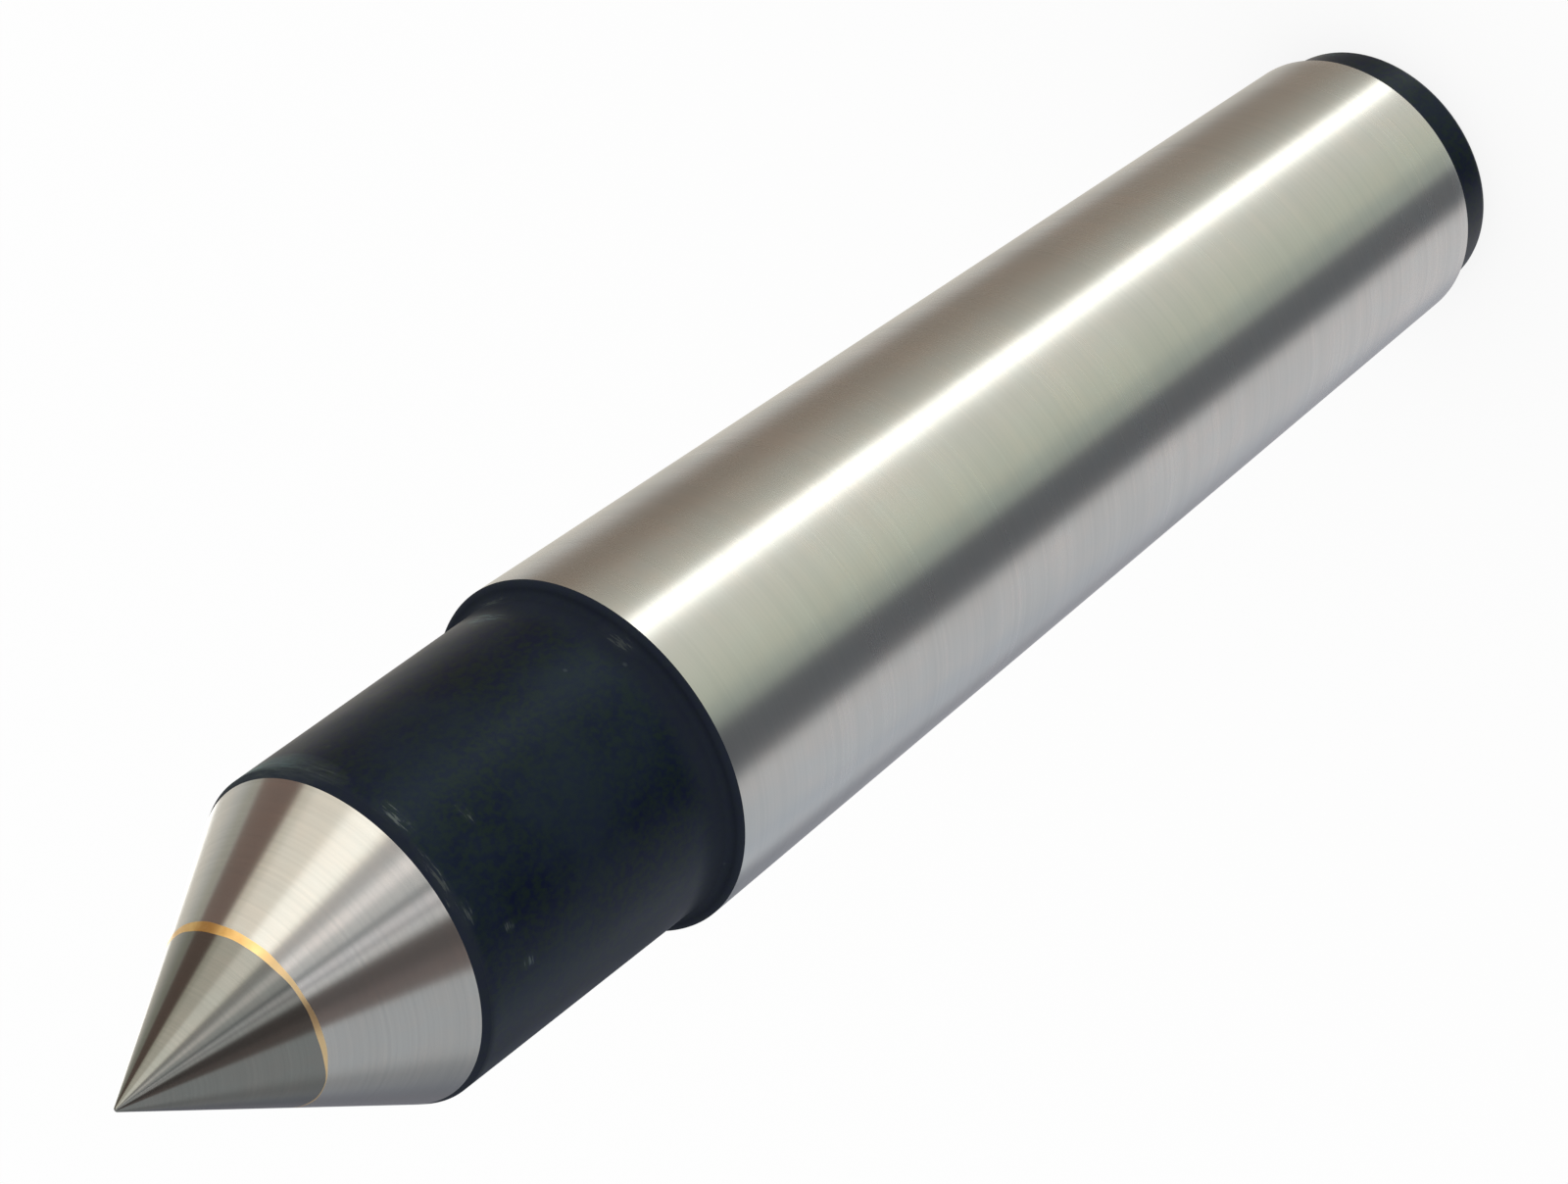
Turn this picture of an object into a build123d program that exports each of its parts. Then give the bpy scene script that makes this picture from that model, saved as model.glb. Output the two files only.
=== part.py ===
from build123d import *
from math import cos, radians, sin, tan
import os

# Dead center for a lathe tailstock: a Morse taper No. 3 shank, a black neck and a 60 degree point
# with a brazed carbide insert. It stands on its rear end: the origin is the middle of the rear
# face and +Z runs up the axis to the point. All lengths are in millimetres.

# Morse taper No. 3 shank, set by its gauge line
gauge_diameter = 23.825      # diameter of the taper at the gauge line
gauge_offset = 5.0           # the gauge line lies this far behind the shoulder face
taper_ratio = 19.922         # length over which the diameter falls by 1 mm
shank_length = 86.0          # rear face to shoulder face

# Rear end: turned down a little, so that the knock-out bar never raises a burr on the taper
tail_length = 3.3
tail_edge_radius = 0.5       # rounded rear corner
tail_step_width = 0.5        # flat ring between the turned end and the taper's chamfer
taper_end_chamfer = 0.25     # where the ground taper stops at the turned end

# Centre hole in the rear face, on which the shank was ground between centres
centre_pilot_diameter = 4.0
centre_countersink_diameter = 8.5
centre_hole_depth = 10.0     # rear face to the end of the straight pilot
centre_angle = 60.0
drill_point_angle = 118.0

# Shoulder and neck, left black
shoulder_edge = 0.35         # edge break that the ground taper runs up to
shoulder_face_width = 0.1    # flat ring between the edge break and the root of the neck
neck_root_radius = 0.5       # fillet in the corner of neck and shoulder
neck_length = 22.0           # shoulder face to the foot of the ground cone
neck_edge_depth = 0.27       # edge break at the front of the neck, measured in and along
neck_edge_length = 0.5

# Ground point
point_angle = 60.0
nose_radius = 0.2            # the very tip is stoned round, a sharp one would chip

# Carbide insert and the brazing alloy round it
insert_diameter = 12.0
insert_shank_length = 13.0   # straight part that sits in the steel
insert_rear_chamfer = 0.8
braze_gap = 0.2              # alloy between insert and bore, on the radius
braze_floor = 0.3            # alloy under the insert

# Radii and heights that follow from the sizes above
point_slope = tan(radians(point_angle / 2))
insert_radius = insert_diameter / 2
bore_radius = insert_radius + braze_gap


def taper_radius(height):
    """Radius of the ground shank at a height above the rear face."""
    gauge_height = shank_length - gauge_offset
    return (gauge_diameter + (height - gauge_height) / taper_ratio) / 2


tail_radius = taper_radius(tail_length) - taper_end_chamfer - tail_step_width
shoulder_radius = taper_radius(shank_length)
neck_radius = shoulder_radius - shoulder_edge - shoulder_face_width - neck_root_radius
cone_foot_radius = neck_radius - neck_edge_depth
cone_foot_height = shank_length + neck_length
apex_height = cone_foot_height + cone_foot_radius / point_slope


def cone_height(radius):
    """Height above the rear face at which the ground point has a given radius."""
    return apex_height - radius / point_slope


insert_shoulder_height = cone_height(insert_radius)
insert_rear_height = insert_shoulder_height - insert_shank_length
bore_floor_height = insert_rear_height - braze_floor

# The nose is a ball that the cone touches all round
half_point_angle = radians(point_angle / 2)
nose_centre_height = apex_height - nose_radius / sin(half_point_angle)
nose_touch_radius = nose_radius * cos(half_point_angle)
nose_touch_height = nose_centre_height + nose_radius * sin(half_point_angle)

# Steel body: one bar, turned, hardened and ground
with BuildPart() as steel_body:
    with BuildSketch(Plane.XZ) as turned_profile:
        with BuildLine():
            Polyline(
                (0, 0),
                (tail_radius, 0),
                (tail_radius, tail_length),
                (taper_radius(tail_length), tail_length),
                (shoulder_radius, shank_length),
                (neck_radius, shank_length),
                (neck_radius, cone_foot_height - neck_edge_length),
                (cone_foot_radius, cone_foot_height),
                (0, apex_height),
                close=True,
            )
        make_face()
    revolve(axis=Axis.Z)

    # The profile's corners, by height: rear face, end of the taper, shoulder
    corners = steel_body.edges().filter_by(GeomType.CIRCLE).group_by(Axis.Z)
    rear_corner = corners[0]
    taper_end_corner = corners[1].sort_by(SortBy.RADIUS)[-1]
    neck_root, shoulder_corner = corners[2].sort_by(SortBy.RADIUS)
    fillet(rear_corner, tail_edge_radius)
    chamfer(taper_end_corner, taper_end_chamfer)
    chamfer(shoulder_corner, shoulder_edge)
    fillet(neck_root, neck_root_radius)

    # Blind bore for the insert, open at the cone
    with Locations((0, 0, apex_height)):
        Hole(bore_radius, depth=apex_height - bore_floor_height)

    # Centre hole: countersink, straight pilot and the cone left by the drill's point
    with Locations(Plane.XY.rotated((180, 0, 0))):
        CounterSinkHole(
            centre_pilot_diameter / 2,
            centre_countersink_diameter / 2,
            depth=centre_hole_depth,
            counter_sink_angle=centre_angle,
        )
    drill_point_length = centre_pilot_diameter / 2 / tan(radians(drill_point_angle / 2))
    with Locations((0, 0, centre_hole_depth)):
        Cone(
            centre_pilot_diameter / 2,
            0,
            drill_point_length,
            align=(Align.CENTER, Align.CENTER, Align.MIN),
            mode=Mode.SUBTRACT,
        )

steel_body.part.label = "steel_body"

# Carbide insert: a straight shank with a chamfered rear edge, under the 60 degree point
with BuildPart() as carbide_tip:
    with BuildSketch(Plane.XZ) as insert_profile:
        with BuildLine():
            Polyline(
                (0, nose_centre_height + nose_radius),
                (0, insert_rear_height),
                (insert_radius, insert_rear_height),
                (insert_radius, insert_shoulder_height),
                (nose_touch_radius, nose_touch_height),
            )
            CenterArc((0, nose_centre_height), nose_radius, point_angle / 2, 90 - point_angle / 2)
        make_face()
    revolve(axis=Axis.Z)
    insert_rear = carbide_tip.edges().filter_by(GeomType.CIRCLE).sort_by(Axis.Z)[0]
    chamfer(insert_rear, insert_rear_chamfer)

carbide_tip.part.label = "carbide_tip"

# Brazing alloy: fills the bore round and under the insert, and was ground flush with the cone
with BuildPart() as braze_joint:
    with BuildSketch(Plane.XZ) as alloy_profile:
        with BuildLine():
            Polyline(
                (0, bore_floor_height),
                (bore_radius, bore_floor_height),
                (bore_radius, cone_height(bore_radius)),
                (insert_radius, insert_shoulder_height),
                (insert_radius, insert_rear_height + insert_rear_chamfer),
                (insert_radius - insert_rear_chamfer, insert_rear_height),
                (0, insert_rear_height),
                close=True,
            )
        make_face()
    revolve(axis=Axis.Z)

braze_joint.part.label = "braze_joint"

os.makedirs("parts", exist_ok=True)
export_step(steel_body.part, "parts/steel_body.step")
export_step(carbide_tip.part, "parts/carbide_tip.step")
export_step(braze_joint.part, "parts/braze_joint.step")

print("overall length", round(nose_centre_height + nose_radius, 2))
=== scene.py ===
import bpy
from math import asin, atan2, cos, degrees, pi, radians, sin, tan
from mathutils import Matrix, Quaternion, Vector


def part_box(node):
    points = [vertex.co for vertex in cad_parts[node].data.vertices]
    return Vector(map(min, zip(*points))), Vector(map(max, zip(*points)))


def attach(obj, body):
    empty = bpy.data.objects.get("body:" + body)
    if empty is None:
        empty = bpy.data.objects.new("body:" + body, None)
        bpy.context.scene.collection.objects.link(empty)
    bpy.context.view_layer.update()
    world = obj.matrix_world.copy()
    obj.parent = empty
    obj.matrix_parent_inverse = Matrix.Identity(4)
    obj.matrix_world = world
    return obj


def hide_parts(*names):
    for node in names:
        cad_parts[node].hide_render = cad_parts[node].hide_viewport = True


# A lathe dead center: ground taper shank, black neck, ground 60 degree point with a brazed carbide insert.
# It stands on its rear end, the axis is Z and the point is up. Lengths are in metres. A turn is an angle
# round the axis in degrees: 0 is towards -Y and it grows towards +X.

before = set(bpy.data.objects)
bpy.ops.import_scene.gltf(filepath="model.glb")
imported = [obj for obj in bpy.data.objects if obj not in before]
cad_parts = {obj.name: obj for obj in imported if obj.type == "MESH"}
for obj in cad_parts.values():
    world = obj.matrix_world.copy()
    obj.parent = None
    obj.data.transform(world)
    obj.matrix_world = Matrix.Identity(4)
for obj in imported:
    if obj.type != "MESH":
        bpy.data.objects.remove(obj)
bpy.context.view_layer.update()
print("frame loaded:", ", ".join(sorted(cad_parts)))


# Small tools for node trees

def startMaterial(name):
    material = bpy.data.materials.new(name)
    material.use_nodes = True
    material.node_tree.nodes.clear()
    return material, material.node_tree


def plug(tree, socket, value):
    # value is the output of another node, or a plain number or colour
    if isinstance(value, bpy.types.NodeSocket):
        tree.links.new(value, socket)
    else:
        socket.default_value = value


def addNode(tree, kind, **settings):
    # a setting sets the node's own property of that name, or else it fills the socket of that name
    made = tree.nodes.new(kind)
    for name, value in settings.items():
        if hasattr(made, name):
            setattr(made, name, value)
        else:
            plug(tree, made.inputs[name.replace("_", " ")], value)
    return made


def calculate(tree, operation, first, second=0.0, third=0.0):
    made = addNode(tree, "ShaderNodeMath", operation=operation)
    for socket, value in zip(made.inputs, (first, second, third)):
        plug(tree, socket, value)
    return made.outputs[0]


def remap(tree, value, fromLow, fromHigh, toLow=0.0, toHigh=1.0):
    made = addNode(tree, "ShaderNodeMapRange", clamp=True, Value=value,
                   From_Min=fromLow, From_Max=fromHigh, To_Min=toLow, To_Max=toHigh)
    return made.outputs["Result"]


def softStep(tree, value, fromLow, fromHigh):
    made = addNode(tree, "ShaderNodeMapRange", interpolation_type="SMOOTHSTEP",
                   Value=value, From_Min=fromLow, From_Max=fromHigh)
    return made.outputs["Result"]


def blendValues(tree, share, first, second):
    rest = calculate(tree, "MULTIPLY", first, 1.0 - share)
    return calculate(tree, "MULTIPLY_ADD", second, share, rest)


def blendColours(tree, amount, first, second):
    made = addNode(tree, "ShaderNodeMix", data_type="RGBA")
    for number, value in ((0, amount), (6, first), (7, second)):    # a colour mix uses these sockets
        plug(tree, made.inputs[number], value)
    return made.outputs[2]


def pattern(tree, across, along, detail=3.0, roughness=0.55, shift=(0.0, 0.0, 0.0)):
    # noise with one spot every 1/across metres round the part and every 1/along metres up its axis
    place = addNode(tree, "ShaderNodeTexCoord").outputs["Object"]
    stretched = addNode(tree, "ShaderNodeMapping", Vector=place, Location=shift,
                        Scale=(across, across, along))
    noise = addNode(tree, "ShaderNodeTexNoise", Vector=stretched.outputs[0],
                    Scale=1.0, Detail=detail, Roughness=roughness)
    return noise.outputs["Fac"]


def turnAndHeight(tree):
    place = addNode(tree, "ShaderNodeTexCoord").outputs["Object"]
    parts = addNode(tree, "ShaderNodeSeparateXYZ", Vector=place)
    forward = calculate(tree, "MULTIPLY", parts.outputs["Y"], -1.0)
    turn = calculate(tree, "ARCTAN2", parts.outputs["X"], forward)
    return calculate(tree, "DEGREES", turn), parts.outputs["Z"]


def eitherWay(tree, away):
    # how many degrees off, counted the shorter way round
    return calculate(tree, "ABSOLUTE", calculate(tree, "WRAP", away, 180.0, -180.0))


def metalShader(tree, colour, roughness, streak):
    around = addNode(tree, "ShaderNodeTangent", direction_type="RADIAL", axis="Z")
    quarterTurn = 0.25            # streaks run along the part and not round it
    return addNode(tree, "ShaderNodeBsdfPrincipled", Base_Color=colour, Metallic=1.0, Roughness=roughness,
                   Anisotropic=streak, Anisotropic_Rotation=quarterTurn, Tangent=around.outputs[0])


def finishMaterial(tree, shader):
    addNode(tree, "ShaderNodeOutputMaterial", Surface=shader.outputs[0])


# Ground metal: the steel taper, the steel point and the carbide insert

groundTaper = {
    "warm": (0.522, 0.508, 0.480, 1.0),
    "cool": (0.500, 0.510, 0.492, 1.0),
    "dull": 0.88,                 # the darkest grinding lines, as a share of the full colour
    "roughness": (0.250, 0.310),
    "streak": 0.86,               # how far the grinding lines draw a highlight out along the axis
    "lineDepth": 0.0000006,
    "lines": (16.0, 4200.0),      # to a metre, round the part and up it
}

groundPoint = {
    "warm": (0.518, 0.505, 0.480, 1.0),
    "cool": (0.498, 0.506, 0.492, 1.0),
    "dull": 0.88,
    "roughness": (0.200, 0.250),
    "streak": 0.86,
    "lineDepth": 0.0000004,
    "lines": (20.0, 5200.0),
}

groundCarbide = {
    "warm": (0.258, 0.254, 0.236, 1.0),
    "cool": (0.246, 0.256, 0.240, 1.0),
    "dull": 0.86,
    "roughness": (0.190, 0.235),
    "streak": 0.84,
    "lineDepth": 0.0000003,
    "lines": (20.0, 6400.0),
}

# What the three have in common
grinding = {
    "broadLines": (0.5, 0.16),    # broad lines for each fine one, round the part and up it
    "fineShare": 0.6,             # the rest of the lines are broad ones
    "clouds": (90.0, 60.0),       # to a metre, round the part and up it
    "cloudShare": 0.45,           # the rest of the tone comes from the lines
    "mottle": (620.0, 460.0),
    "warmEnds": (0.38, 0.62),     # how strong the mottle is where the colour is all cool, and all warm
    "dullEnds": (0.36, 0.64),     # how strong the tone is where the colour is all dull, and all bright
    "roughEnds": (0.3, 0.7),      # and where the metal is roughest, and smoothest
}


def groundMetal(name, look):
    material, tree = startMaterial(name)
    around, upward = look["lines"]
    broadAround, broadUpward = grinding["broadLines"]
    fineLines = pattern(tree, around, upward, detail=2.0, roughness=0.6)
    broadLines = pattern(tree, around * broadAround, upward * broadUpward, shift=(3.1, 1.7, 5.3))
    clouds = pattern(tree, *grinding["clouds"], detail=2.0, shift=(7.7, 2.9, 0.4))
    mottle = pattern(tree, *grinding["mottle"], detail=3.0, shift=(0.9, 6.2, 3.8))
    lines = blendValues(tree, grinding["fineShare"], broadLines, fineLines)
    tone = blendValues(tree, grinding["cloudShare"], lines, clouds)
    colour = blendColours(tree, remap(tree, mottle, *grinding["warmEnds"]), look["cool"], look["warm"])
    dulled = [channel * look["dull"] for channel in look["cool"][:3]] + [1.0]
    colour = blendColours(tree, remap(tree, tone, *grinding["dullEnds"]), dulled, colour)
    smoothest, roughest = look["roughness"]
    roughness = remap(tree, tone, *grinding["roughEnds"], roughest, smoothest)
    shader = metalShader(tree, colour, roughness, look["streak"])
    bump = addNode(tree, "ShaderNodeBump", Strength=1.0, Distance=look["lineDepth"], Height=lines)
    plug(tree, shader.inputs["Normal"], bump.outputs[0])
    finishMaterial(tree, shader)
    return material


# Brazing alloy, the gold ring on the cone

brazingAlloy = {
    "light": (0.86, 0.58, 0.23, 1.0),
    "dark": (0.72, 0.43, 0.135, 1.0),
    "paleGold": (0.77, 0.570, 0.310, 1.0),
    "paintedOrangeTurn": 62.0,           # painted reflection: the turn at which the alloy is painted most orange, where the ring mirrors the wall's dark brown strip
    "paintedOrangeReach": (8.0, 60.0),   # degrees from there to where the painted orange starts to pale, and to where it is all pale
    "roughness": (0.30, 0.42),
    "streak": 0.6,
    "patches": (900.0, 900.0),    # to a metre, round the part and up it
    "lightEnds": (0.35, 0.65),    # how strong the patches are where the colour is all dark, and all light
    "roughEnds": (0.3, 0.7),      # and where the alloy is roughest, and smoothest
}


def brazedRing(name, look):
    material, tree = startMaterial(name)
    patches = pattern(tree, *look["patches"], detail=4.0)
    colour = blendColours(tree, remap(tree, patches, *look["lightEnds"]), look["dark"], look["light"])
    # painted reflection: the colour changes round the ring, deepest orange where the ring mirrors the dark
    # brown strip of the wall and pale gold away from there
    away = eitherWay(tree, calculate(tree, "SUBTRACT", turnAndHeight(tree)[0], look["paintedOrangeTurn"]))
    colour = blendColours(tree, remap(tree, away, *look["paintedOrangeReach"]), colour, look["paleGold"])
    smoothest, roughest = look["roughness"]
    roughness = remap(tree, patches, *look["roughEnds"], roughest, smoothest)
    finishMaterial(tree, metalShader(tree, colour, roughness, look["streak"]))
    return material


# Black oxide on what was turned and not ground

blackOxide = {
    "blue": (0.0008, 0.0018, 0.0170, 1.0),
    "green": (0.0046, 0.0098, 0.0090, 1.0),
    "pale": (0.0092, 0.0150, 0.0265, 1.0),
    "bare": (0.085, 0.098, 0.098, 1.0),     # steel that shows where the oxide is rubbed off
    "roughness": (0.36, 0.46),
    "specular": 0.13,
    "sheen": (0.63, 0.95, 1.0, 1.0),        # the colour of what it mirrors
    "clouds": (210.0, 160.0),     # to a metre, round the part and up it
    "hues": (2300.0, 1900.0),
    "grain": (6500.0, 6500.0),
    "turned": (14.0, 5200.0),     # fine lines from the lathe
    "grainDepth": 0.0000030,
    "turnedDepth": 0.0000010,
    "greenEnds": (0.40, 0.60),    # how strong the hues are where the colour is all blue, and all green
    "paleEnds": (0.42, 0.70),     # how strong the clouds are where they start to show, and are palest
    "paleShare": 0.5,             # how far the palest clouds go to the pale colour
    "roughEnds": (0.3, 0.7),      # how strong the clouds are where the oxide is smoothest, and roughest
    "specksPerMetre": 620.0,
    "speckSize": 0.13,            # as a share of the room between specks
    "speckRarity": (0.80, 0.95),  # of the places for a speck, the share without one, and without a full one
    "speckPaleness": 0.6,
    "haze": 0.10,                 # how pale a rubbed place is between its scratches
    "corner": (0.0850, 0.0867, 0.0890),     # heights: it starts, is in full to here, and has faded by here
    "frontEdge": (0.1069, 0.1077),          # the same at the neck's front edge: it starts and is in full
    "cornerRoughness": 0.80,      # the oxide is dull there
    "cornerColour": (0.0150, 0.0172, 0.0275, 1.0),
    "cornerShare": 0.7,           # how far it goes to that colour
}

# Rubbed places: turn and half in degrees round the part, height and reach in metres. Some have a haze of
# their own.
rubs = [
    {"turn": 20.0, "half": 10.0, "height": 0.10690, "reach": 0.00100},
    {"turn": -4.0, "half": 17.0, "height": 0.10740, "reach": 0.00050},
    {"turn": -15.0, "half": 6.0, "height": 0.10710, "reach": 0.00070},
    {"turn": 70.0, "half": 34.0, "height": 0.10690, "reach": 0.00150, "haze": 0.50},
    {"turn": -41.0, "half": 3.0, "height": 0.10395, "reach": 0.00080},
    {"turn": -26.5, "half": 2.5, "height": 0.10470, "reach": 0.00045},
    {"turn": 8.5, "half": 5.0, "height": 0.10320, "reach": 0.00045},
    {"turn": 24.0, "half": 9.0, "height": 0.08640, "reach": 0.00070},
    {"turn": 68.0, "half": 12.0, "height": 0.08880, "reach": 0.00120},
    {"turn": 80.0, "half": 16.0, "height": 0.08650, "reach": 0.00060},
    {"turn": 150.0, "half": 14.0, "height": 0.10700, "reach": 0.00090},
    {"turn": -118.0, "half": 12.0, "height": 0.10720, "reach": 0.00070},
    {"turn": -150.0, "half": 22.0, "height": 0.00050, "reach": 0.00090},
    {"turn": 60.0, "half": 14.0, "height": 0.00045, "reach": 0.00070},
]

# The scratches in the rubbed places
scratches = {
    "metresPerDegree": 0.00019,   # round the neck
    "slant": 14.0,                # degrees
    "count": (560.0, 3900.0),     # to a metre, along a scratch and across it
    "detail": 5.0,
    "roughness": 0.7,
    "limit": (0.70, 0.48),        # how strong the noise is in a scratch, at a place's edge and its middle
    "sharpness": 9.0,
    "strongest": 0.75,            # as a share of bare steel
    "hazeEnds": (0.36, 0.60),     # how strong the noise is where the haze is thinnest, and thickest
    "hazeShare": (0.25, 1.1),     # and how much of it there is
    "fade": 0.2,                  # how much of a place is taken up by its faded edge
}


def rubbedShare(tree, haze):
    # how far the oxide is rubbed off: scratches that run round the part, a little aslant, with a haze between
    turn, height = turnAndHeight(tree)
    inside, pale = 0.0, 0.0
    for rub in rubs:
        sideways = calculate(tree, "SUBTRACT", turn, rub["turn"])
        sideways = calculate(tree, "DIVIDE", sideways, rub["half"])
        upward = calculate(tree, "SUBTRACT", height, rub["height"])
        upward = calculate(tree, "DIVIDE", upward, rub["reach"])
        away = calculate(tree, "MULTIPLY", upward, upward)
        away = calculate(tree, "MULTIPLY_ADD", sideways, sideways, away)
        covered = remap(tree, away, 0.0, 1.0, 1.0, 0.0)
        hazed = calculate(tree, "MULTIPLY", covered, rub.get("haze", haze))
        inside = calculate(tree, "MAXIMUM", inside, covered)
        pale = calculate(tree, "MAXIMUM", pale, hazed)
    along = calculate(tree, "MULTIPLY", turn, scratches["metresPerDegree"])
    place = addNode(tree, "ShaderNodeCombineXYZ", X=along, Y=height)
    aslant = addNode(tree, "ShaderNodeMapping", Vector=place.outputs[0],
                     Rotation=(0.0, 0.0, radians(scratches["slant"])), Scale=(*scratches["count"], 1.0))
    noise = addNode(tree, "ShaderNodeTexNoise", Vector=aslant.outputs[0], Scale=1.0,
                    Detail=scratches["detail"], Roughness=scratches["roughness"]).outputs["Fac"]
    broken = remap(tree, noise, *scratches["hazeEnds"], *scratches["hazeShare"])
    pale = calculate(tree, "MULTIPLY", pale, broken)
    limit = remap(tree, inside, 0.0, 1.0, *scratches["limit"])
    strokes = calculate(tree, "SUBTRACT", noise, limit)
    strokes = calculate(tree, "MULTIPLY", strokes, scratches["sharpness"])
    strokes = calculate(tree, "MAXIMUM", strokes, 0.0)
    strokes = calculate(tree, "MINIMUM", strokes, scratches["strongest"])
    edge = remap(tree, inside, 0.0, scratches["fade"])
    return calculate(tree, "MULTIPLY", calculate(tree, "MAXIMUM", strokes, pale), edge)


def speckShare(tree, look):
    place = addNode(tree, "ShaderNodeTexCoord").outputs["Object"]
    cells = addNode(tree, "ShaderNodeTexVoronoi", Vector=place, Scale=look["specksPerMetre"])
    chance = addNode(tree, "ShaderNodeSeparateColor", Color=cells.outputs["Color"]).outputs[0]
    chosen = remap(tree, chance, *look["speckRarity"])
    specks = remap(tree, cells.outputs["Distance"], 0.0, look["speckSize"], look["speckPaleness"], 0.0)
    return calculate(tree, "MULTIPLY", specks, chosen)


def cornerShare(tree, look):
    # 1 in the corner of neck and shoulder and at the neck's front edge
    height = turnAndHeight(tree)[1]
    cornerFoot, cornerFull, cornerTop = look["corner"]
    corner = softStep(tree, height, cornerTop, cornerFull)
    corner = calculate(tree, "MULTIPLY", corner, calculate(tree, "GREATER_THAN", height, cornerFoot))
    return calculate(tree, "MAXIMUM", corner, softStep(tree, height, *look["frontEdge"]))


def oxideMaterial(name, look):
    material, tree = startMaterial(name)
    clouds = pattern(tree, *look["clouds"], detail=5.0)
    hues = pattern(tree, *look["hues"], detail=4.0, roughness=0.66, shift=(5.1, 0.7, 9.3))
    grain = pattern(tree, *look["grain"], detail=2.0)
    turned = pattern(tree, *look["turned"], detail=2.0, shift=(1.3, 4.1, 2.2))
    worn = rubbedShare(tree, look["haze"])
    bared = calculate(tree, "MAXIMUM", worn, speckShare(tree, look))
    corner = cornerShare(tree, look)
    colour = blendColours(tree, remap(tree, hues, *look["greenEnds"]), look["blue"], look["green"])
    paled = remap(tree, clouds, *look["paleEnds"], 0.0, look["paleShare"])
    colour = blendColours(tree, paled, colour, look["pale"])
    # in the corner of neck and shoulder and at the neck's front edge the colour goes part way to one set
    # colour
    toCornerColour = calculate(tree, "MULTIPLY", corner, look["cornerShare"])
    colour = blendColours(tree, toCornerColour, colour, look["cornerColour"])
    colour = blendColours(tree, bared, colour, look["bare"])
    roughness = remap(tree, clouds, *look["roughEnds"], *look["roughness"])
    duller = calculate(tree, "SUBTRACT", look["cornerRoughness"], roughness)
    roughness = calculate(tree, "MULTIPLY_ADD", duller, corner, roughness)
    tall = calculate(tree, "MULTIPLY", grain, look["grainDepth"])
    tall = calculate(tree, "MULTIPLY_ADD", turned, look["turnedDepth"], tall)
    bump = addNode(tree, "ShaderNodeBump", Strength=1.0, Distance=1.0, Height=tall)
    shader = addNode(tree, "ShaderNodeBsdfPrincipled", Base_Color=colour, Metallic=worn, Roughness=roughness,
                     Normal=bump.outputs[0], Specular_IOR_Level=look["specular"], Specular_Tint=look["sheen"])
    finishMaterial(tree, shader)
    return material


# All three pieces are turned round Z from their outlines, in rings fine enough for a close look

segments = 288
arcSteps = 8
tiny = 1e-6
halfPoint = 30.0                  # degrees, half of the point's angle and of the centre hole's
coneSlope = tan(radians(halfPoint))


def arcPoints(centre, radius, fromAngle, toAngle):
    found = []
    for step in range(arcSteps + 1):
        angle = radians(fromAngle + (toAngle - fromAngle) * step / arcSteps)
        found.append((centre[0] + radius * cos(angle), centre[1] + radius * sin(angle)))
    return found


def breakCorners(outline, steps=3):
    # outline is a list of (radius, height, finish, how far its corner is rounded)
    softened = [outline[0]]
    for before, here, after in zip(outline, outline[1:], outline[2:]):
        if not here[3]:
            softened.append(here)
            continue
        corner = Vector(here[:2])
        toBefore, toAfter = Vector(before[:2]) - corner, Vector(after[:2]) - corner
        turn = pi - toBefore.angle(toAfter)
        back = min(here[3] * tan(turn / 2), toBefore.length / 3, toAfter.length / 3)
        start, end = corner + toBefore.normalized() * back, corner + toAfter.normalized() * back
        for step in range(steps + 1):
            share = step / steps
            point = start.lerp(corner, share).lerp(corner.lerp(end, share), share)
            softened.append((point.x, point.y, here[2], 0.0))
    return softened + [outline[-1]]


def divideRuns(outline, longest):
    divided = []
    for here, after in zip(outline, outline[1:]):
        run = (Vector(after[:2]) - Vector(here[:2])).length
        pieces = max(1, round(run / longest))
        for piece in range(pieces):
            point = Vector(here[:2]).lerp(Vector(after[:2]), piece / pieces)
            divided.append((point.x, point.y, here[2]))
    return divided + [outline[-1][:3]]


def lathe(name, outline, looks, crease=40.0, longest=0.001):
    # each ring of faces takes the finish of the point that it starts from, corners above crease degrees stay
    # sharp, and no ring is much wider than longest
    outline = divideRuns(breakCorners(outline), longest)
    points, faces, slots, rings = [], [], [], []
    for radius, height, _ in outline:
        if radius < tiny:
            rings.append([len(points)])
            points.append((0.0, 0.0, height))
            continue
        first = len(points)
        rings.append(list(range(first, first + segments)))
        for segment in range(segments):
            angle = 2 * pi * segment / segments
            points.append((radius * cos(angle), radius * sin(angle), height))
    names = list(looks)
    for lower, upper, (_, _, finish) in zip(rings, rings[1:], outline):
        for segment in range(segments):
            after = (segment + 1) % segments
            if len(lower) == 1:
                face = (lower[0], upper[after], upper[segment])
            elif len(upper) == 1:
                face = (lower[segment], lower[after], upper[0])
            else:
                face = (lower[segment], lower[after], upper[after], upper[segment])
            faces.append(face)
            slots.append(names.index(finish))
    mesh = bpy.data.meshes.new(name)
    mesh.from_pydata(points, [], faces)
    for look in looks.values():
        mesh.materials.append(look)
    mesh.polygons.foreach_set("material_index", slots)
    mesh.shade_smooth()
    mesh.set_sharp_from_angle(angle=radians(crease))
    made = bpy.data.objects.new(name, mesh)
    bpy.context.scene.collection.objects.link(made)
    evened = made.modifiers.new("evenNormals", "WEIGHTED_NORMAL")    # keeps long faces flat to their edges
    evened.mode = "FACE_AREA"
    evened.keep_sharp = True
    return made


def settle(made, node):
    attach(made, "root")
    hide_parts(node)
    print(made.name, "lathed:", len(made.data.polygons), "faces")


# The steel body, one turned bar: rear end, ground taper, black neck, ground point

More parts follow.
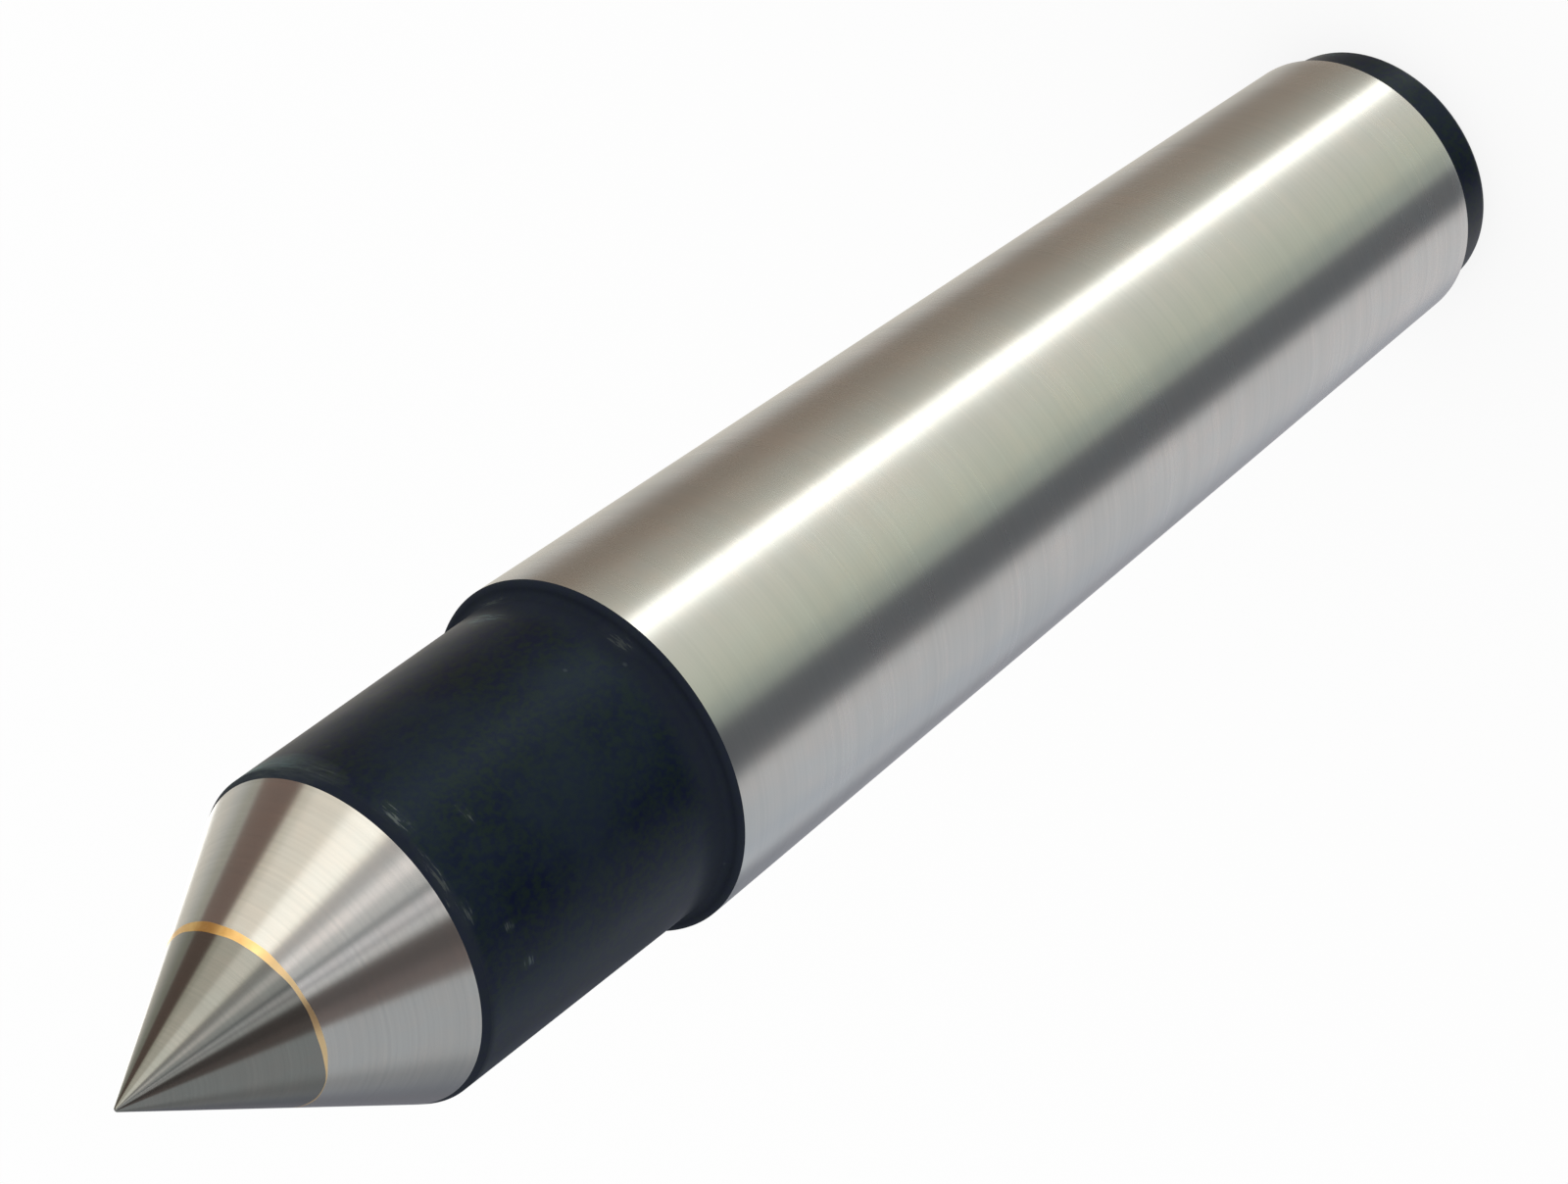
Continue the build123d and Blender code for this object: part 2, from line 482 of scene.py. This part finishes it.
steelBody = {
    "gaugeDiameter": 0.023825,
    "gaugeOffset": 0.005,
    "taperRatio": 19.922,
    "shankLength": 0.086,
    "tailLength": 0.0033,
    "tailEdgeRadius": 0.0005,
    "tailStepWidth": 0.0005,
    "taperEndChamfer": 0.00025,
    "pilotRadius": 0.002,
    "countersinkRadius": 0.00425,
    "centreDepth": 0.010,
    "drillPoint": 118.0,
    "shoulderEdge": 0.00035,
    "shoulderFaceWidth": 0.0001,
    "neckRootRadius": 0.0005,
    "neckLength": 0.022,
    "neckEdgeDepth": 0.00027,
    "neckEdgeLength": 0.0005,
    "crisp": 0.00004,             # how far ground corners are rounded
    "soft": 0.00012,              # and black ones
}


def steelOutline(size, apex, boreRadius, boreFloor):
    gaugeHeight = size["shankLength"] - size["gaugeOffset"]

    def taperRadius(height):
        return (size["gaugeDiameter"] + (height - gaugeHeight) / size["taperRatio"]) / 2

    taperEnd = taperRadius(size["tailLength"])
    tail = taperEnd - size["taperEndChamfer"] - size["tailStepWidth"]
    shoulder = taperRadius(size["shankLength"])
    root, face = size["neckRootRadius"], size["shankLength"]
    neck = shoulder - size["shoulderEdge"] - size["shoulderFaceWidth"] - root
    coneFoot = face + size["neckLength"]
    pilot, sink, edge = size["pilotRadius"], size["countersinkRadius"], size["tailEdgeRadius"]
    chamferTop = size["tailLength"] + size["taperEndChamfer"]
    edgeFoot = face - size["shoulderEdge"]
    crisp, soft = size["crisp"], size["soft"]
    outline = [
        (0.0, size["centreDepth"] + pilot / tan(radians(size["drillPoint"] / 2)), "black", 0.0),
        (pilot, size["centreDepth"], "black", crisp),
        (pilot, (sink - pilot) / coneSlope, "seat", crisp),
        (sink, 0.0, "black", crisp),
    ]
    outline += [(*point, "black", 0.0) for point in arcPoints((tail - edge, edge), edge, -90, 0)]
    outline += [
        (tail, size["tailLength"], "black", crisp),
        (taperEnd - size["taperEndChamfer"], size["tailLength"], "black", crisp),
        (taperRadius(chamferTop), chamferTop, "taper", crisp),
        (taperRadius(edgeFoot), edgeFoot, "black", crisp),
    ]
    # the shoulder's edge is one round, from the ground taper to where the neck's fillet starts
    edgeWidth = taperRadius(edgeFoot) - neck - root
    edgeRound = (edgeWidth ** 2 + size["shoulderEdge"] ** 2) / (2 * size["shoulderEdge"])
    edgeStart = degrees(asin(1 - size["shoulderEdge"] / edgeRound))
    edgeArc = arcPoints((neck + root, face - edgeRound), edgeRound, edgeStart, 90)
    rootArc = arcPoints((neck + root, face + root), root, -90, -180)
    outline += [(*point, "black", 0.0) for point in edgeArc[1:-1] + rootArc]
    outline += [
        (neck, coneFoot - size["neckEdgeLength"], "black", soft),
        (neck - size["neckEdgeDepth"], coneFoot, "point", crisp),
        (boreRadius, apex - boreRadius / coneSlope, "bore", 0.0),
        (boreRadius, boreFloor, "bore", 0.0),
        (0.0, boreFloor, "bore", 0.0),
    ]
    return outline


# The carbide insert

insert = {
    "radius": 0.006,
    "shankLength": 0.013,
    "rearChamfer": 0.0008,
    "noseRadius": 0.0002,
    "floorGap": 0.0003,           # alloy under it
}


def insertOutline(size, apex):
    shoulder, chamfer, nose = apex - size["radius"] / coneSlope, size["rearChamfer"], size["noseRadius"]
    rear = shoulder - size["shankLength"]
    noseCentre = apex - nose / sin(radians(halfPoint))
    outline = [
        (0.0, rear, "carbide", 0.0),
        (size["radius"] - chamfer, rear, "carbide", 0.0),
        (size["radius"], rear + chamfer, "carbide", 0.0),
        (size["radius"], shoulder, "carbide", 0.0),
    ]
    noseArc = arcPoints((0.0, noseCentre), nose, halfPoint, 90)
    outline += [(*point, "carbide", 0.0) for point in noseArc[:-1]]
    return outline + [(0.0, noseCentre + nose, "carbide", 0.0)]


# The alloy round the insert, and how unevenly its ring came out

alloyRing = {
    "gap": 0.0002,
    "widest": 75.0,               # the turn at which the ring is widest and nearest the point
    "boreShift": 0.00010,         # how far the bore is off centre, away from there
    "insertShift": 0.00018,
    "ripple": 0.000010,           # how far the long ripples of both rims reach
    "longRipples": 7,             # so many round the ring
    "longStart": 9000.0,          # radians for a metre of radius, so the two rims ripple differently
    "shortRipples": 17,
    "shortStart": 2.0,            # radians
    "shortShare": 0.6,            # how far the short ones reach, as a share of the long ones
}

# Where the ring is thinner, or wider where by is below 0: turn and half in degrees, by in metres of radius
thinPlaces = [
    {"turn": -73.0, "half": 37.0, "by": 0.00010},
    {"turn": -5.0, "half": 30.0, "by": 0.00006},
    {"turn": 55.0, "half": 36.0, "by": -0.00003},
    {"turn": 170.0, "half": 50.0, "by": 0.00005},
]


def alloyOutline(size, apex, boreRadius, boreFloor):
    shoulder, chamfer = apex - size["radius"] / coneSlope, size["rearChamfer"]
    rear = shoulder - size["shankLength"]
    corners = [
        (0.0, boreFloor),
        (boreRadius, boreFloor),
        (boreRadius, apex - boreRadius / coneSlope),
        (size["radius"], shoulder),
        (size["radius"], rear + chamfer),
        (size["radius"] - chamfer, rear),
        (0.0, rear),
    ]
    return [(*corner, "alloy", 0.0) for corner in corners]


def unevenRim(made, ring, radius, apex, offCentre, places):
    # moves one rim along the cone, so that the alloy shows as a ring of changing width and height
    height = apex - radius / coneSlope
    for vertex in made.data.vertices:
        across = vertex.co.xy.length
        if abs(vertex.co.z - height) > tiny or abs(across - radius) > tiny:
            continue
        angle = atan2(vertex.co.x, -vertex.co.y)
        shift = -offCentre * cos(angle - radians(ring["widest"]))
        longOnes = sin(ring["longRipples"] * angle + radius * ring["longStart"])
        shortOnes = sin(ring["shortRipples"] * angle + ring["shortStart"])
        shift += ring["ripple"] * (longOnes + ring["shortShare"] * shortOnes)
        for place in places:
            away = abs((degrees(angle) - place["turn"] + 180) % 360 - 180) / place["half"]
            shift += place["by"] * (0.5 + 0.5 * cos(pi * min(away, 1.0)))
        vertex.co.xy *= (across + shift) / across
        vertex.co.z -= shift / coneSlope


taperLook = groundMetal("groundTaper", groundTaper)
pointLook = groundMetal("groundPoint", groundPoint)
oxideLook = oxideMaterial("blackOxide", blackOxide)
carbideLook = groundMetal("groundCarbide", groundCarbide)
brazeLook = brazedRing("brazingAlloy", brazingAlloy)
print("finishes made")

steelLooks = {
    "taper": taperLook,
    "black": oxideLook,
    "point": pointLook,
    "seat": pointLook,            # the centre hole's countersink is ground too
    "bore": oxideLook,
}
boreRadius = insert["radius"] + alloyRing["gap"]
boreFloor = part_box("braze_joint")[0].z
apex = boreFloor + insert["floorGap"] + insert["shankLength"] + insert["radius"] / coneSlope

steelShape = steelOutline(steelBody, apex, boreRadius, boreFloor)
alloyShape = alloyOutline(insert, apex, boreRadius, boreFloor)
turnedBody = lathe("turned_steel_body", steelShape, steelLooks)
groundInsert = lathe("ground_insert", insertOutline(insert, apex), {"carbide": carbideLook}, crease=25.0)
alloyCup = lathe("alloy_cup", alloyShape, {"alloy": brazeLook}, crease=25.0)
for made in (turnedBody, alloyCup):
    unevenRim(made, alloyRing, boreRadius, apex, alloyRing["boreShift"], [])
for made in (alloyCup, groundInsert):
    unevenRim(made, alloyRing, insert["radius"], apex, alloyRing["insertShift"], thinPlaces)
settle(turnedBody, "steel_body")
settle(groundInsert, "carbide_tip")
settle(alloyCup, "braze_joint")


# Floor, light, and the ring wall that the metal mirrors

studio = {
    "floorSize": 6.0,
    "floorColour": (0.93, 0.93, 0.93, 1.0),
    "floorGlow": 0.85,            # how much of it is plain white to the camera, the rest shows the shadow
    "worldLight": 1.0,
}

# The wall stands round the part and only its reflection is seen. Strips are painted on it one over the
# other. turn is the strip's middle and half its half width, in degrees, soft is the width of its faded
# edge, and heights are the lowest and highest that it reaches. A strip with a lean moves round by so many
# degrees for each metre down from leanFrom.
wall = {
    "radius": 0.6,
    "reach": 1.3,
    "segments": 180,
    "level": (0.86, 0.85, 0.84),
    "edge": 0.10,                 # metres over which a strip fades at its top and bottom
    "leanFrom": -0.45,
}
footLevel, deepLevel, belowLevel, aboveLevel = (-2.0, -0.57), (-2.0, -0.52), (-2.0, 0.03), (0.03, 2.0)
neckLevel, upperLevel, sideLevel = (-0.355, 0.03), (-0.47, 0.03), (-0.22, -0.03)

wallStrips = [
    # mirrored by the shank and the neck
    {"turn": -122, "half": 16, "soft": 20, "level": (0.67, 0.70, 0.79), "heights": belowLevel},
    {"turn": -88, "half": 24, "soft": 14, "level": (0.83, 0.81, 0.83), "heights": belowLevel},
    {"turn": -106, "half": 42, "soft": 20, "level": (0.98, 0.96, 0.98), "heights": deepLevel},
    {"turn": -104, "half": 32, "soft": 24, "level": (1.09, 1.05, 1.07), "heights": footLevel},
    {"turn": -146, "half": 11, "soft": 12, "level": (0.51, 0.51, 0.57), "heights": belowLevel},
    {"turn": -176, "half": 20, "soft": 10, "level": (0.66, 0.66, 0.71), "heights": belowLevel},
    {"turn": -104, "half": 28, "soft": 16, "level": (0.68, 0.76, 0.86), "heights": neckLevel},
    {"turn": -150, "half": 30, "soft": 20, "level": (0.20, 0.22, 0.27), "heights": neckLevel},
    {"turn": 0, "half": 36, "soft": 20, "level": (0.86, 0.89, 0.73), "heights": belowLevel},
    {"turn": 26, "half": 16, "soft": 26, "level": (1.02, 1.00, 0.88), "heights": belowLevel},
    {"turn": 10, "half": 15, "soft": 18, "level": (1.06, 1.07, 0.91), "heights": upperLevel},
    {"turn": -27, "half": 9, "soft": 12, "level": (0.56, 0.62, 0.54), "heights": belowLevel},
    {"turn": -48, "half": 16.9, "soft": 11, "level": (0.16, 0.17, 0.19), "heights": belowLevel, "lean": -16},
    {"turn": 74, "half": 24, "soft": 8, "level": (0.62, 0.59, 0.52), "heights": belowLevel},
    {"turn": 76, "half": 18, "soft": 10, "level": (0.65, 0.64, 0.585), "heights": deepLevel},
    {"turn": 60, "half": 5, "soft": 8, "level": (0.85, 0.82, 0.70), "heights": belowLevel},
    {"turn": 105, "half": 22, "soft": 18, "level": (0.42, 0.345, 0.285), "heights": belowLevel},
    {"turn": 110, "half": 18, "soft": 18, "level": (0.50, 0.415, 0.345), "heights": footLevel},
    {"turn": 104, "half": 13, "soft": 12, "level": (0.345, 0.285, 0.235), "heights": upperLevel},
    {"turn": 158, "half": 18, "soft": 16, "level": (0.98, 0.92, 0.82), "heights": belowLevel},
    {"turn": 42.5, "half": 12, "soft": 24, "level": (1.36, 1.34, 1.24), "heights": belowLevel, "lean": 30},
    {"turn": 45.6, "half": 7.3, "soft": 5, "level": (3.2, 3.15, 2.95), "heights": belowLevel, "lean": 30},
    # mirrored by the shank when it is seen from lower down
    {"turn": 166, "half": 6, "soft": 5, "level": (2.6, 2.55, 2.45), "heights": sideLevel},
    {"turn": -158, "half": 14, "soft": 12, "level": (0.22, 0.22, 0.25), "heights": sideLevel},
    {"turn": 122, "half": 9, "soft": 12, "level": (0.32, 0.31, 0.29), "heights": sideLevel},
    {"turn": -112, "half": 5, "soft": 5, "level": (2.3, 2.25, 2.2), "heights": sideLevel},
    # mirrored by the point and the insert
    {"turn": -90, "half": 30, "soft": 6, "level": (0.64, 0.65, 0.67), "heights": aboveLevel},
    {"turn": -144, "half": 33, "soft": 24, "level": (0.43, 0.43, 0.44), "heights": aboveLevel},
    {"turn": -50.4, "half": 8.6, "soft": 5, "level": (0.24, 0.19, 0.18), "heights": aboveLevel},
    {"turn": -34.5, "half": 9.6, "soft": 6, "level": (0.15, 0.125, 0.12), "heights": aboveLevel},
    {"turn": -19.5, "half": 2.4, "soft": 2, "level": (1.02, 1.00, 1.00), "heights": aboveLevel},
    {"turn": -15.5, "half": 1.6, "soft": 2, "level": (0.50, 0.48, 0.50), "heights": aboveLevel},
    {"turn": -11, "half": 2.6, "soft": 2, "level": (1.12, 1.08, 1.10), "heights": aboveLevel},
    {"turn": -4.5, "half": 2.4, "soft": 2.5, "level": (0.30, 0.31, 0.33), "heights": aboveLevel},
    {"turn": 13, "half": 4.5, "soft": 5, "level": (1.48, 1.38, 1.34), "heights": aboveLevel},
    {"turn": 27, "half": 5.5, "soft": 5, "level": (0.69, 0.65, 0.63), "heights": aboveLevel},
    {"turn": 58, "half": 26, "soft": 3, "level": (1.38, 1.27, 1.10), "heights": aboveLevel},
    {"turn": 47, "half": 12, "soft": 6, "level": (2.0, 1.9, 1.72), "heights": aboveLevel},
    {"turn": 89, "half": 5, "soft": 4, "level": (1.14, 1.05, 0.88), "heights": aboveLevel},
    {"turn": 106.3, "half": 14.4, "soft": 4, "level": (0.28, 0.195, 0.165), "heights": aboveLevel},
    {"turn": 135, "half": 14, "soft": 6, "level": (0.55, 0.53, 0.43), "heights": aboveLevel},
    {"turn": 163, "half": 14, "soft": 10, "level": (0.54, 0.52, 0.47), "heights": aboveLevel},
]


def floorMaterial():
    material, tree = startMaterial("paleFloor")
    path = tree.nodes.new("ShaderNodeLightPath")
    seen = calculate(tree, "MAXIMUM", path.outputs["Is Camera Ray"], path.outputs["Is Glossy Ray"])
    seen = calculate(tree, "MAXIMUM", seen, path.outputs["Is Transmission Ray"])
    glow = addNode(tree, "ShaderNodeEmission", Color=(1.0, 1.0, 1.0, 1.0), Strength=1.0)
    matte = addNode(tree, "ShaderNodeBsdfDiffuse", Color=studio["floorColour"])
    mix = tree.nodes.new("ShaderNodeMixShader")
    white = calculate(tree, "MULTIPLY", seen, studio["floorGlow"])
    for socket, value in zip(mix.inputs, (white, matte.outputs[0], glow.outputs[0])):
        plug(tree, socket, value)
    finishMaterial(tree, mix)
    return material


def addFloor():
    half = studio["floorSize"] / 2
    corners = [(-half, -half, 0), (half, -half, 0), (half, half, 0), (-half, half, 0)]
    mesh = bpy.data.meshes.new("floor")
    mesh.from_pydata(corners, [], [(0, 1, 2, 3)])
    mesh.materials.append(floorMaterial())
    floor = bpy.data.objects.new("floor", mesh)
    bpy.context.scene.collection.objects.link(floor)
    floor.visible_glossy = False      # the metal mirrors the wall instead, down to its foot


def wallMaterial():
    material, tree = startMaterial("paintedWall")
    turn, height = turnAndHeight(tree)
    colour = (*wall["level"], 1.0)
    fade = wall["edge"] / 2
    for strip in wallStrips:
        away = calculate(tree, "SUBTRACT", turn, strip["turn"])
        if "lean" in strip:
            lean = strip["lean"]
            moved = calculate(tree, "MULTIPLY_ADD", height, lean, -wall["leanFrom"] * lean)
            away = calculate(tree, "ADD", away, moved)
        half, soft = strip["half"], strip["soft"] / 2
        inside = softStep(tree, eitherWay(tree, away), half + soft, half - soft)
        low, high = strip["heights"]
        for end, inward in ((low, fade), (high, -fade)):
            reached = softStep(tree, height, end - inward, end + inward)
            inside = calculate(tree, "MULTIPLY", inside, reached)
        colour = blendColours(tree, inside, colour, (*strip["level"], 1.0))
    finishMaterial(tree, addNode(tree, "ShaderNodeEmission", Color=colour, Strength=1.0))
    return material


def addWall():
    points, faces = [], []
    for segment in range(wall["segments"]):
        angle = 2 * pi * segment / wall["segments"]
        for height in (-wall["reach"], wall["reach"]):
            points.append((wall["radius"] * cos(angle), wall["radius"] * sin(angle), height))
    for segment in range(wall["segments"]):
        here, after = 2 * segment, 2 * ((segment + 1) % wall["segments"])
        faces.append((here, here + 1, after + 1, after))
    mesh = bpy.data.meshes.new("ring_wall")
    mesh.from_pydata(points, [], faces)
    material = wallMaterial()
    material.cycles.emission_sampling = "NONE"
    mesh.materials.append(material)
    made = bpy.data.objects.new("ring_wall", mesh)
    bpy.context.scene.collection.objects.link(made)
    made.visible_camera = False       # only the metal sees it
    made.visible_diffuse = False
    made.visible_shadow = False
    made.visible_transmission = False


def addWorld():
    world = bpy.data.worlds.new("whiteRoom")
    bpy.context.scene.world = world
    world.use_nodes = True
    background = world.node_tree.nodes["Background"]
    background.inputs["Color"].default_value = (1.0, 1.0, 1.0, 1.0)
    background.inputs["Strength"].default_value = studio["worldLight"]


addFloor()
addWall()
addWorld()
bpy.context.scene.view_settings.view_transform = "Standard"
print("studio set up")


# Camera, found from the outlines in the photograph

cameraSetup = {
    "place": (0.0, -0.26489, 0.28418),
    "aim": (0.00098, 0.0, 0.06577),
    "roll": -126.57,              # degrees, so that the point lies at the lower left
    "lens": 126.26,               # millimetres
    "sensor": 36.0,
    "clip": (0.01, 20.0),
}


def addCamera(setup):
    camera = bpy.data.cameras.new("camera")
    camera.sensor_width = setup["sensor"]
    camera.lens = setup["lens"]
    camera.clip_start, camera.clip_end = setup["clip"]
    made = bpy.data.objects.new("camera", camera)
    bpy.context.scene.collection.objects.link(made)
    place, aim = Vector(setup["place"]), Vector(setup["aim"])
    level = (aim - place).to_track_quat("-Z", "Y")
    made.rotation_mode = "QUATERNION"
    made.rotation_quaternion = level @ Quaternion((0, 0, 1), radians(setup["roll"]))
    made.location = place
    bpy.context.scene.camera = made


addCamera(cameraSetup)
print("camera placed")

bpy.context.view_layer.update()
